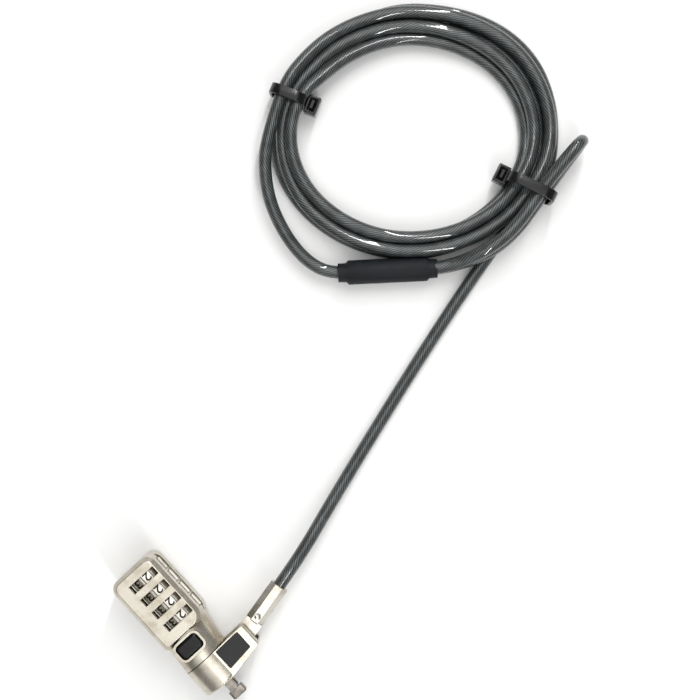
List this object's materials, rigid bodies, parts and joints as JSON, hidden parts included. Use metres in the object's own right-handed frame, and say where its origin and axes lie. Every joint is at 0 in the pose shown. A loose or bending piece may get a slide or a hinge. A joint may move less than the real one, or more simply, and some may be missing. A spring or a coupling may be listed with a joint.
{
  "type": "laptop cable lock",
  "caption": "Combination lock head with digit dials, push button and T-bar tip, on a swivelling collar and hinged ferrule, with a coiled steel security cable ending in a crimped eye.",
  "frame": {"origin": "on the flat back of the lock head, under the lock's own axis, 20 mm behind the joint of neck and collar", "axes": "+X along the head towards its locking tip, +Y towards the cable, +Z out of the dial face"},
  "size_m": [0.1524, 0.2338, 0.0183],
  "materials": {
    "nickel_plated_zinc": "satin nickel over zinc die casting",
    "hardened_steel": "hardened steel, ground",
    "zinc_plated_steel": "zinc-plated steel",
    "spring_steel": "spring steel",
    "crimped_steel": "bright nickel-plated steel, crimped",
    "crimped_aluminium": "pressed aluminium",
    "chromed_dial": "satin chrome with black digits",
    "brass_sleeve": "turned brass",
    "black_abs": "moulded black ABS",
    "cable_jacket": "smoke-tinted clear PVC over twisted steel strands",
    "shrink_sleeve": "matt black heat-shrink",
    "tie_nylon": "moulded black nylon"
  },
  "bodies": {
    "cable": {"ferrule": "crimped_steel", "cable_end": "cable_jacket", "cable_lead": "cable_jacket", "cable_coil": "cable_jacket", "cable_tail": "cable_jacket", "cable_eye": "cable_jacket", "eye_crimp": "crimped_aluminium", "crimp_cover": "shrink_sleeve", "cable_tie_left": "tie_nylon", "cable_tie_right": "tie_nylon"},
    "collar": {"collar": "nickel_plated_zinc", "collar_pad": "black_abs", "hinge_pin": "hardened_steel"},
    "head": {"housing": "nickel_plated_zinc", "back_cover": "nickel_plated_zinc", "cover_screws": "zinc_plated_steel", "nose_guide": "hardened_steel", "nose_pin": "hardened_steel", "retaining_ring": "spring_steel", "detent_spring": "spring_steel", "return_spring": "spring_steel", "button_spring": "spring_steel"},
    "button": {"push_button": "black_abs"},
    "spindle": {"spindle": "hardened_steel"},
    "t_bar": {"t_bar": "hardened_steel"},
    "reset": {"reset_screw": "zinc_plated_steel"},
    "dial_1": {"dial_1": "chromed_dial", "code_sleeve_1": "brass_sleeve"},
    "dial_2": {"dial_2": "chromed_dial", "code_sleeve_2": "brass_sleeve"},
    "dial_3": {"dial_3": "chromed_dial", "code_sleeve_3": "brass_sleeve"},
    "dial_4": {"dial_4": "chromed_dial", "code_sleeve_4": "brass_sleeve"}
  },
  "joints": [
    {"name": "collar_pivot", "type": "hinge", "parent": "cable", "child": "collar", "pos_m": [0.0244, 0.011, 0.00885], "axis": [0, 0, 1], "range_deg": [-48, 9]},
    {"name": "head_swivel", "type": "hinge", "parent": "collar", "child": "head", "pos_m": [0.025, 0, 0.00885], "axis": [1, 0, 0], "continuous": true},
    {"name": "button_press", "type": "slide", "parent": "head", "child": "button", "axis": [0, 0, -1], "range_m": [0, 0.0022], "stiffness_N_per_m": 400, "springref_m": -0.002, "deforming": ["button_spring"]},
    {"name": "spindle_slide", "type": "slide", "parent": "head", "child": "spindle", "axis": [-1, 0, 0], "range_m": [0, 0.0022], "deforming": ["return_spring"]},
    {"name": "t_bar_turn", "type": "hinge", "parent": "head", "child": "t_bar", "pos_m": [0.03, 0, 0.00885], "axis": [1, 0, 0], "range_deg": [0, 90]},
    {"name": "reset_turn", "type": "hinge", "parent": "head", "child": "reset", "pos_m": [0.0124, 0.0024, 0.002], "axis": [0, 0, 1], "range_deg": [0, 90]},
    {"name": "dial_1_turn", "type": "hinge", "parent": "head", "child": "dial_1", "pos_m": [-0.0139, 0.0034, 0.0092], "axis": [1, 0, 0], "continuous": true},
    {"name": "dial_2_turn", "type": "hinge", "parent": "head", "child": "dial_2", "pos_m": [-0.00815, 0.0034, 0.0092], "axis": [1, 0, 0], "continuous": true},
    {"name": "dial_3_turn", "type": "hinge", "parent": "head", "child": "dial_3", "pos_m": [-0.0024, 0.0034, 0.0092], "axis": [1, 0, 0], "continuous": true},
    {"name": "dial_4_turn", "type": "hinge", "parent": "head", "child": "dial_4", "pos_m": [0.00335, 0.0034, 0.0092], "axis": [1, 0, 0], "continuous": true}
  ],
  "couplings": [
    {"joint": "spindle_slide", "follows": "button_press", "ratio": 1},
    {"joint": "t_bar_turn", "follows": "button_press", "rad_per_m": 713.99}
  ]
}
